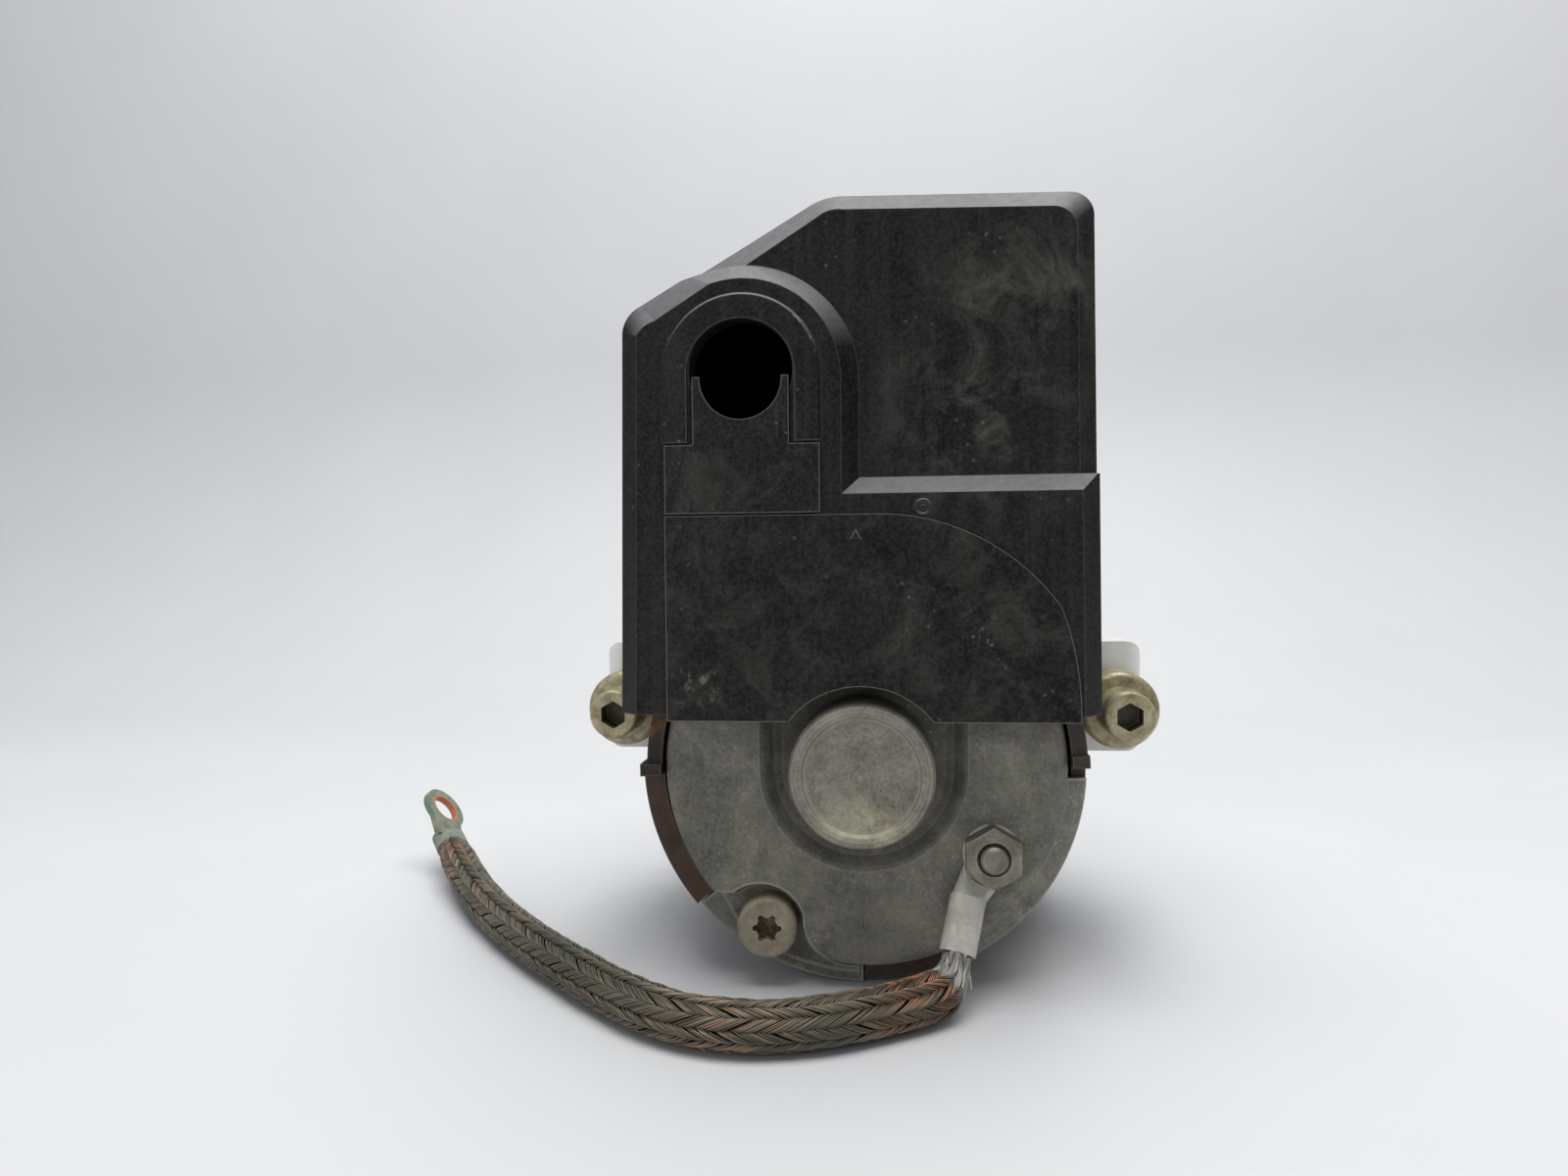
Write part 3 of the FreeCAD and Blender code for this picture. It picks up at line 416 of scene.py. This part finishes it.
def far_lug_copper():
    """Verdigris over copper; bare copper shows inside the eye."""
    eye = next(m for m in frame["record"]["mounts"] if m["name"] == "ground_eye")
    paint = Paint("aged_copper", roughness=0.58, metallic=0.15)
    cloud = paint.ramp(paint.noise(420, detail=8, rough=0.75), 0.36, 0.66)
    colour = paint.mix(cloud, rgb(100, 106, 92), rgb(150, 153, 138))
    green = paint.ramp(paint.noise(200, detail=7, shift=6.0), 0.47, 0.62)
    colour = paint.mix(paint.times(green, 0.6), colour, rgb(96, 138, 122))
    brown = paint.ramp(paint.noise(420, detail=6, shift=1.0), 0.56, 0.68)
    colour = paint.mix(paint.times(brown, 0.6), colour, rgb(106, 84, 64))
    offset = paint.add("ShaderNodeVectorMath", {0: paint.place, 1: eye["pos_m"]}, operation="SUBTRACT")
    length = paint.add("ShaderNodeVectorMath", {0: offset.outputs[0]}, operation="LENGTH")
    distance = length.outputs["Value"]
    hole = eye["dims"]["r_mm"]
    inside = paint.ramp(distance, (hole + 0.9) * MM, (hole + 0.2) * MM)
    colour = paint.mix(inside, colour, rgb(186, 116, 82))
    colour = paint.mix(paint.times(paint.edges(0.4), 0.4), colour, rgb(176, 168, 146))
    paint.base(colour)
    paint.relief((paint.noise(1500, detail=6, rough=0.75), 0.03))
    return paint.material


def cast_aluminium(name, bright=(214, 215, 215), dull=(166, 167, 168), rough=0.42, metallic=0.6):
    """Clouded cast aluminium with bright edges."""
    paint = Paint(name, roughness=rough, metallic=metallic)
    cloud = paint.ramp(paint.noise(130, detail=7, rough=0.68), 0.34, 0.68)
    paint.base(paint.mix(paint.times(paint.edges(0.6), 0.5), paint.mix(cloud, rgb(*dull), rgb(*bright)),
                         rgb(232, 232, 232)))
    paint.shine(paint.ramp(cloud, 0, 1, rough + 0.12, rough))
    paint.relief((paint.noise(1300, detail=5, rough=0.7), 0.02))
    return paint.material


def grained(name, colour, second, roughness=0.5, metallic=0.0, scale=400, stretch=(1, 1, 1), depth=0.01):
    """Plain material for inner parts: two tones and a fine grain."""
    paint = Paint(name, roughness=roughness, metallic=metallic)
    shade = paint.ramp(paint.noise(scale, detail=5, stretch=stretch), 0.35, 0.65)
    paint.base(paint.mix(shade, rgb(*colour), rgb(*second)))
    paint.relief((paint.noise(scale * 4, detail=3, stretch=stretch), depth))
    return paint.material


def braid_copper():
    """Copper wires with painted glints on the high wires and painted shade low in the weave; the weave
    attribute holds place along the strap, height in the weave and wire.
    """
    paint = Paint("braid_copper", roughness=0.42, metallic=0.45)
    marks = paint.add("ShaderNodeSeparateColor",
                      {0: paint.add("ShaderNodeAttribute", attribute_name="weave").outputs["Color"]})
    place, height, wire = (marks.outputs[i] for i in range(3))
    cloud = paint.ramp(paint.noise(60, detail=6, rough=0.7), 0.36, 0.66)
    aged = paint.mix(cloud, rgb(96, 95, 83), rgb(128, 117, 100))
    green = paint.ramp(paint.noise(48, detail=5, shift=9.0), 0.48, 0.62)
    aged = paint.mix(paint.times(green, 0.6), aged, rgb(104, 112, 102))
    # painted highlight: pale copper glints on the wires that stand highest in the weave
    bright = paint.ramp(paint.noise(34, detail=5, shift=2.0), 0.46, 0.66)
    painted_glint = paint.times(paint.ramp(height, 0.6, 0.95), bright, paint.ramp(wire, 0.25, 0.8))
    aged = paint.mix(paint.times(painted_glint, 0.6), aged, rgb(222, 176, 146))
    fresh = paint.times(paint.ramp(paint.noise(220, detail=5), 0.38, 0.62), paint.ramp(wire, 0.1, 0.7))
    orange = paint.mix(fresh, rgb(84, 66, 50), rgb(206, 138, 104))
    start = paint.times(paint.ramp(place, 0.030, 0.046), paint.ramp(place, 0.16, 0.085))
    finish = paint.times(paint.ramp(place, 0.90, 0.965), 0.6)
    patches = paint.ramp(paint.noise(110, detail=5, shift=4), 0.34, 0.6)
    colour = paint.mix(paint.times(paint.calc("MAXIMUM", start, finish), patches), aged, orange)
    ragged = paint.calc("ADD", place, paint.times(paint.noise(400, detail=3), 0.02))
    tinned = paint.ramp(ragged, 0.056, 0.044)
    colour = paint.mix(tinned, colour, rgb(176, 174, 168))
    colour = paint.mix(paint.times(paint.ramp(place, 0.982, 0.992), 0.8), colour, rgb(104, 124, 108))
    colour = paint.mix(paint.ramp(wire, 0.0, 1.0, 0.4, 0.0), colour, rgb(52, 45, 36))
    # painted shade: wires darken toward black where they dip under others in the weave
    colour = paint.mix(paint.ramp(height, 0.66, 0.2, 0.0, 0.95), colour, rgb(14, 12, 10))
    paint.base(colour)
    paint.relief((paint.noise(2500, detail=3), 0.02))
    return paint.material


# ---------------------------------------------------------------- ground strap

def spline_points(route):
    """Points of the route's smooth line, read back from a NURBS curve with no bevel."""
    curve = bpy.data.curves.new("strap_line", "CURVE")
    curve.dimensions = "3D"
    spline = curve.splines.new("NURBS")
    spline.points.add(len(route) - 1)
    for control, place in zip(spline.points, route):
        control.co = (*place, 1)
    spline.order_u = 3
    spline.use_endpoint_u = True
    spline.resolution_u = 24
    holder = bpy.data.objects.new("strap_line", curve)
    mesh = bpy.data.meshes.new_from_object(holder)
    points = np.array([v.co for v in mesh.vertices])
    bpy.data.meshes.remove(mesh)
    bpy.data.objects.remove(holder)
    bpy.data.curves.remove(curve)
    return points


def resample(points, step):
    """Evenly spaced points on a line, and their distances along it."""
    lengths = np.r_[0, np.cumsum(np.linalg.norm(np.diff(points, axis=0), axis=1))]
    stations = np.linspace(0, lengths[-1], int(round(lengths[-1] / step)) + 1)
    return np.column_stack([np.interp(stations, lengths, points[:, i]) for i in range(3)]), stations


def unit(vectors):
    return vectors / np.linalg.norm(vectors, axis=-1, keepdims=True)


def frames_along(points):
    """Unit tangent, side and top at each point, carried along without twist."""
    tangents = unit(np.gradient(points, axis=0))
    side = np.cross(tangents[0], (0.0, 0.0, 1.0))
    sides = []
    for tangent in tangents:
        side = unit(side - tangent * np.dot(side, tangent))
        sides.append(side)
    sides = np.array(sides)
    return tangents, sides, np.cross(sides, tangents)


def tubes(name, paths, outwards, radius, corners):
    """One mesh of round wires: paths is wires x points x 3, outwards the matching directions."""
    wires, count = paths.shape[:2]
    tangents = unit(np.gradient(paths, axis=1))
    outwards = unit(outwards - tangents * np.sum(outwards * tangents, axis=2, keepdims=True))
    sides = np.cross(tangents, outwards)
    turns = np.arange(corners) * 2 * math.pi / corners
    rings = (paths[:, :, None] + radius * (np.cos(turns)[:, None] * outwards[:, :, None]
                                           + np.sin(turns)[:, None] * sides[:, :, None]))
    index = np.arange(wires * count * corners).reshape(wires, count, corners)
    a, b = index[:, :-1], index[:, 1:]
    quads = np.stack([a, np.roll(a, -1, axis=2), np.roll(b, -1, axis=2), b], axis=-1).reshape(-1, 4)
    caps = [list(index[w, 0][::-1]) for w in range(wires)] + [list(index[w, -1]) for w in range(wires)]
    mesh = bpy.data.meshes.new(name)
    mesh.from_pydata(rings.reshape(-1, 3).tolist(), [], quads.tolist() + caps)
    mesh.polygons.foreach_set("use_smooth", [True] * len(quads) + [False] * len(caps))
    mesh.update()
    return mesh


CARRIERS = 12                    # bundles of wires wound each way
WIRES = 6                        # wires side by side in one bundle
WIRE_R = 0.150 * MM              # radius of one wire
WIRE_PITCH = 0.262 * MM          # from wire to wire across a bundle
CORE_R = 3.52 * MM               # mean radius of the weave
WAVE = 0.40 * MM                 # height of a bundle over the mean when it passes over another
CROWN = 0.24 * MM                # how much a bundle's middle wire stands over its outer ones
BRAID_ANGLE = math.radians(23)   # between a bundle and the strap's own line
STATION_STEP = 0.7 * MM          # between points along a wire
BRAID_CORNERS = 5                # sides of a wire's section
LOOSENESS = 0.16                 # spread of how high a bundle lifts, in waves
BUNDLE_SHIFT = 0.05              # spread of a bundle's place round the strap, in bundles
BUNDLE_SWAY = 0.06               # how far it sways to the side on its way, in bundles
BUNDLE_SWAY_LENGTH = 14 * MM     # strap length for one radian of that sway
WIRE_SWAY = 0.05 * MM            # how far a wire sways inside its bundle
WIRE_SWAY_LENGTH = 5.3 * MM      # strap length for one radian of that sway
ANY_PHASE = 6.3                  # upper end of a random phase, about one turn
STEEPNESS = 1.6                  # how fast a bundle rises to pass over the next
FLOOR_GAP = 0.02 * MM            # least height of a wire over the floor
FILLING_R = CORE_R - 0.35 * MM   # radius of the dark filling under the weave


def narrowing(stations):
    """Share of the full width along the strap: it narrows into its lugs at both ends."""
    total = stations[-1]
    return np.interp(stations, [0, 2.5 * MM, 8 * MM, total - 9 * MM, total], [0.60, 0.62, 1.0, 1.0, 0.80])


def braid_paths(line, stations):
    """Every wire's points, outward directions and colour marks."""
    _, sides, tops = frames_along(line)
    lay_length = 2 * math.pi * CORE_R / math.tan(BRAID_ANGLE)
    swell = narrowing(stations)
    paths, outwards, marks = [], [], []
    for way in (-1, 1):
        for carrier in range(CARRIERS):
            loose = rng.normal(0, LOOSENESS)
            shift = rng.normal(0, BUNDLE_SHIFT)
            sway = BUNDLE_SWAY * np.sin(stations / BUNDLE_SWAY_LENGTH + rng.uniform(0, ANY_PHASE))
            drift = shift + sway
            for wire in range(WIRES):
                across = (wire - (WIRES - 1) / 2) * WIRE_PITCH
                wander = WIRE_SWAY * np.sin(stations / WIRE_SWAY_LENGTH + rng.uniform(0, ANY_PHASE))
                lane = (across + wander) / CORE_R
                turn = (2 * math.pi * (carrier + drift) / CARRIERS
                        + way * 2 * math.pi * stations / lay_length
                        + lane / math.cos(BRAID_ANGLE))
                column = turn * CARRIERS / (2 * math.pi)
                lift = way * np.clip(STEEPNESS * np.sin(math.pi * (column - 0.25)), -1, 1)
                crown = CROWN * (1 - (2 * across / (WIRES * WIRE_PITCH)) ** 2)
                lift_height = WAVE * (lift + loose * (lift > 0))
                radius = swell * (CORE_R + lift_height + crown)
                out = np.cos(turn)[:, None] * sides + np.sin(turn)[:, None] * tops
                wire_line = line + radius[:, None] * out
                wire_line[:, 2] = np.maximum(wire_line[:, 2], WIRE_R + FLOOR_GAP)
                paths.append(wire_line)
                outwards.append(out)
                rise = (radius - swell * (CORE_R - WAVE)) / (2 * WAVE + CROWN)
                marks.append(np.column_stack([stations / stations[-1], np.clip(rise, 0, 1),
                                              np.full_like(stations, rng.uniform())]))
    return np.array(paths), np.array(outwards), np.array(marks)


# Stray wires: angle round the strap, start along it, reach and splay outwards, in radians and mm.
STRAYS = [(0.4, 1.0, 3.6, 0.7), (1.5, 1.2, 4.4, 0.9), (2.1, 0.8, 3.6, 1.3), (2.8, 1.6, 4.2, 1.5),
          (3.2, 1.9, 3.6, 1.0), (3.6, 1.0, 3.4, 1.7)]


def make_braid():
    """The woven strap as one free cord, with its core and its stray ends."""
    route = [point(*place) for place in STRAP_ROUTE]
    line, stations = resample(spline_points(route), STATION_STEP)
    paths, outwards, marks = braid_paths(line, stations)
    mesh = tubes("ground_strap_braid", paths, outwards, WIRE_R, BRAID_CORNERS)
    weave = mesh.attributes.new("weave", "FLOAT_COLOR", "POINT")
    colours = np.concatenate([marks, np.ones((*marks.shape[:2], 1))], axis=2)
    weave.data.foreach_set("color", np.repeat(colours, BRAID_CORNERS, axis=1).astype(np.float32).ravel())
    braid = link(bpy.data.objects.new("ground_strap_braid", mesh))
    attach(braid, "unit")
    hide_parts("ground_strap")
    return braid, make_core(line, stations), make_strays(line, stations)


def make_core(line, stations):
    """Filling under the braid, so that no light shows through the weave; its near-black colour is painted
    shade for the inside of the weave.
    """
    _, sides, tops = frames_along(line)
    corners = 24
    turns = np.linspace(0, 2 * math.pi, corners, endpoint=False)
    outwards = np.cos(turns)[None, :, None] * sides[:, None] + np.sin(turns)[None, :, None] * tops[:, None]
    rings = line[:, None] + (narrowing(stations) * FILLING_R)[:, None, None] * outwards
    index = np.arange(len(line) * corners).reshape(-1, corners)
    a, b = index[:-1], index[1:]
    quads = np.stack([a, np.roll(a, -1, axis=1), np.roll(b, -1, axis=1), b], axis=-1).reshape(-1, 4)
    mesh = bpy.data.meshes.new("ground_strap_core")
    caps = [list(index[0][::-1]), list(index[-1])]
    mesh.from_pydata(rings.reshape(-1, 3).tolist(), [], quads.tolist() + caps)
    mesh.polygons.foreach_set("use_smooth", [True] * len(mesh.polygons))
    core = link(bpy.data.objects.new("ground_strap_core", mesh))
    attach(core, "unit")
    return core


def make_strays(line, stations):
    """Broken tinned wire ends that stand off the strap at the near lug."""
    _, sides, tops = frames_along(line)
    foot = 2.3                   # mm from the strap's line to where a stray wire starts
    steps = np.linspace(0, 1, 12)
    paths, outwards = [], []
    for turn, start, reach, splay in STRAYS:
        out = math.cos(turn) * sides + math.sin(turn) * tops
        places = start * MM + steps * reach * MM
        base = np.column_stack([np.interp(places, stations, line[:, k]) for k in range(3)])
        away = np.column_stack([np.interp(places, stations, out[:, k]) for k in range(3)])
        paths.append(base + (foot + splay * steps ** 1.6)[:, None] * MM * away)
        outwards.append(away)
    mesh = tubes("ground_strap_strays", np.array(paths), np.array(outwards), WIRE_R, 6)
    strays = link(bpy.data.objects.new("ground_strap_strays", mesh))
    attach(strays, "unit")
    return strays


# ---------------------------------------------------------------- small marks moulded on the hood

def mark(name, x, z, face, rings, corners):
    """Low mark on a face that looks forward; rings are (radius, height over the face) in mm."""
    mesh = bmesh.new()
    turns = [k * 2 * math.pi / corners for k in range(corners)]
    loops = [[mesh.verts.new(point(x + radius * math.sin(turn), face - height, z + radius * math.cos(turn)))
              for turn in turns] for radius, height in rings]
    for a, b in zip(loops, loops[1:]):
        for k in range(corners):
            mesh.faces.new((a[k - 1], a[k], b[k], b[k - 1]))
    mesh.faces.new(loops[0][::-1])
    mesh.faces.new(loops[-1])
    bmesh.ops.recalc_face_normals(mesh, faces=mesh.faces)
    data = bpy.data.meshes.new(name)
    mesh.to_mesh(data)
    mesh.free()
    piece = link(bpy.data.objects.new(name, data))
    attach(piece, "hood")
    return piece


def make_marks():
    """Round ejector-pin mark on the hood and a small raised triangle on its front panel."""
    pin = [(1.6, -0.3), (1.6, 0.03), (1.4, 0.16), (1.15, 0.16),
           (0.95, 0.03), (0.5, 0.03), (0.4, 0.10), (0.15, 0.12)]
    triangle = [(1.35, -0.25), (1.3, 0.1), (0.95, 0.4)]
    return [mark("pin_mark", 11.2, 89.8, HOOD_FACE, pin, corners=36),
            mark("triangle_mark", -0.6, 84.9, PANEL_FACE, triangle, corners=3)]


# ---------------------------------------------------------------- accumulator springs

SPRING_WIRE_R = 0.55 * MM        # radius of a spring's wire
SPRING_TURNS = 5


def make_spring(side):
    """Round-wire coil spring that fills the box of its accumulator spring part."""
    node = "accumulator_spring_" + side
    bloom_and_reflection, high = (np.array(corner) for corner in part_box(node))
    middle, reach = (bloom_and_reflection + high) / 2, (high[0] - bloom_and_reflection[0]) / 2 - SPRING_WIRE_R
    share = np.linspace(0, 1, 48 * SPRING_TURNS + 1)
    turn = 2 * math.pi * SPRING_TURNS * share
    rise = np.interp(share, [0, 0.16, 0.84, 1], [0, 0.05, 0.95, 1])
    height = bloom_and_reflection[2] + SPRING_WIRE_R + rise * (high[2] - bloom_and_reflection[2] - 2 * SPRING_WIRE_R)
    out = np.column_stack([np.cos(turn), np.sin(turn), np.zeros_like(turn)])
    axis = np.column_stack([np.full_like(turn, middle[0]), np.full_like(turn, middle[1]), height])
    line = axis + out * reach
    mesh = tubes("spring_" + side, line[None], out[None], SPRING_WIRE_R, corners=10)
    spring = link(bpy.data.objects.new("spring_" + side, mesh))
    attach(spring, "unit")
    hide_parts(node)
    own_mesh(spring)
    return spring


# ---------------------------------------------------------------- building

PAINTS = {
    "hood_plastic": hood_plastic,
    "panel_plastic": panel_plastic,
    "shield_metal": shield_metal,
    "cap_steel": cap_steel,
    "housing_steel": lambda: rusty("housing_steel", (84, 70, 60), (60, 50, 44), (92, 66, 50), 0.6),
    "clamp_steel": lambda: rusty("clamp_steel", (78, 70, 62), (50, 46, 42), (110, 76, 50), 0.45),
    "screw_zinc": lambda: plated("screw_zinc", (178, 169, 148), (136, 128, 110), (112, 88, 56),
                                 0.5, 0.2, 0.6, socket=(-18.2, 1.4, 11.8)),
    "stud_zinc": bolt_yellow,
    "tinned_copper": lambda: plated("tinned_copper", (200, 198, 189), (166, 163, 155), (132, 127, 112),
                                    0.5, 0.15, 0.35),
    "aged_copper": far_lug_copper,
    "block_aluminium": lambda: cast_aluminium("block_aluminium"),
    # partly painted light: a near-white, barely metallic copy of the aluminium that lifts lugs standing in
    # the hood's shade
    "lug_aluminium": lambda: cast_aluminium("lug_aluminium", (250, 250, 249), (236, 236, 234), 0.4, 0.05),
    "port_steel": lambda: plated("port_steel", (150, 148, 138), (112, 110, 100), (108, 92, 60)),
    "bright_steel": lambda: grained("bright_steel", (158, 159, 161), (184, 185, 187), 0.25, 0.95, 500,
                                    (1, 6, 1), 0.004),
    "piston_aluminium": lambda: grained("piston_aluminium", (176, 178, 181), (198, 199, 202), 0.32, 0.9,
                                        500),
    "core_iron": lambda: grained("core_iron", (86, 84, 82), (108, 106, 104), 0.5, 0.8, 900,
                                 (0.1, 3, 0.1), 0.03),
    "winding_copper": lambda: grained("winding_copper", (150, 78, 44), (186, 104, 62), 0.3, 0.85, 700,
                                      (0.2, 0.2, 4), 0.06),
    "ferrite": lambda: grained("ferrite", (42, 42, 44), (60, 59, 60), 0.7, 0.0, 300, depth=0.02),
    "carbon": lambda: grained("carbon", (30, 30, 32), (46, 45, 46), 0.5, 0.2, 600),
    "gasket_rubber": lambda: grained("gasket_rubber", (22, 22, 22), (36, 36, 35), 0.75, 0.0, 500,
                                     depth=0.02),
    "inner_plastic": lambda: grained("inner_plastic", (52, 52, 54), (66, 66, 67), 0.5, 0.0, 350),
    "relay_plastic": lambda: grained("relay_plastic", (64, 65, 68), (82, 82, 84), 0.45, 0.0, 350),
    "braid_copper": braid_copper,
    "coil_plastic": lambda: grained("coil_plastic", (70, 52, 36), (92, 70, 48), 0.4, 0.0, 350),
}


def dress_nodes(paints):
    """Every CAD node takes the material of its slot; the ground nut and stud are duller than theirs."""
    for name, node in frame["nodes"].items():
        for holder in node.material_slots:
            slot = holder.material.name.split(".")[0]
            if name in ("ground_nut", "ground_stud"):
                slot = "port_steel"
            holder.material = paints[slot]


make_camera()
braid, core, strays = make_braid()
paints = {slot: make() for slot, make in PAINTS.items()}
dress_nodes(paints)
braid.data.materials.append(paints["braid_copper"])
strays.data.materials.append(paints["tinned_copper"])
# painted shade: near-black filling that stands for the shaded inside of the braid
core.data.materials.append(grained("core_painted_shade", (20, 18, 15), (34, 30, 25), 0.9, 0.0, 600))
make_lights()
make_floor()

for piece in make_marks():
    piece.data.materials.append(paints["hood_plastic"])
for side in ("left", "right"):
    make_spring(side).data.materials.append(paints["bright_steel"])
